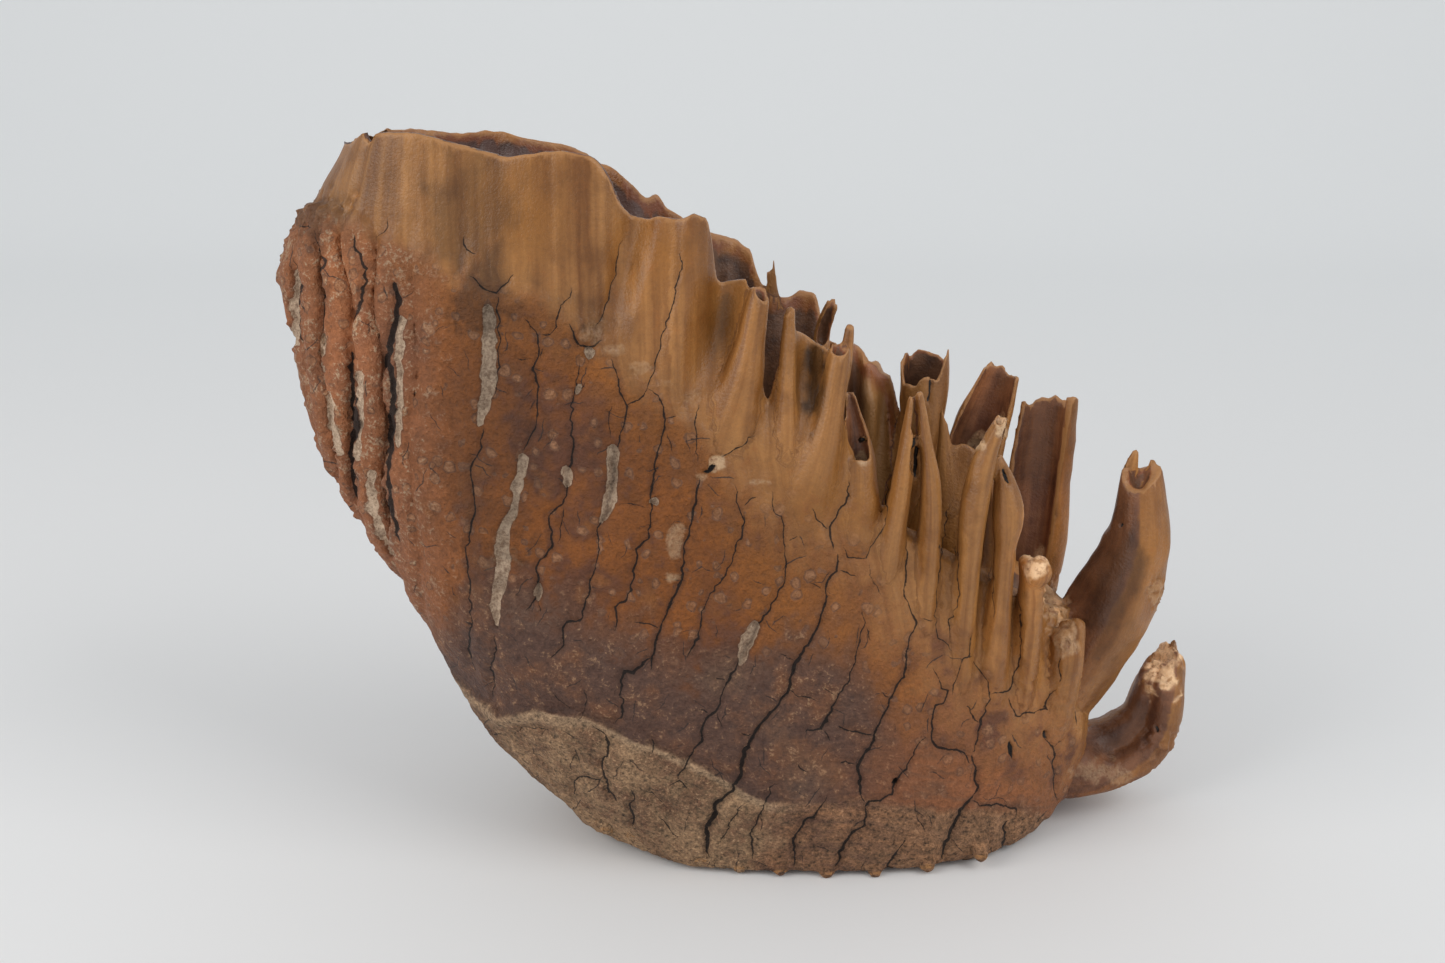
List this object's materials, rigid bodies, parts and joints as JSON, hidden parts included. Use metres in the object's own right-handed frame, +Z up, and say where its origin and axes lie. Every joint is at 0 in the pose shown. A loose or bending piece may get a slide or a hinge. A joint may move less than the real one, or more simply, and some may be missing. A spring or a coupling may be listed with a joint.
{
  "type": "fossil mammoth tooth",
  "caption": "Fossil woolly mammoth molar standing on its convex chewing surface, with a broad open pulp cup at one end and two rows of broken hollow roots stepping down from it.",
  "frame": {"origin": "middle of the footprint of the bounding box, on the surface that the tooth stands on", "axes": "+X along the tooth, from the pulp cup's end towards the end with the single curved root; +Y across the tooth, away from the face that carries the row of narrow roots; +Z up"},
  "size_m": [0.2642, 0.092, 0.21],
  "materials": {
    "fossil_tooth": "satin"
  },
  "bodies": {
    "root": {"tooth": "fossil_tooth"}
  },
  "joints": []
}
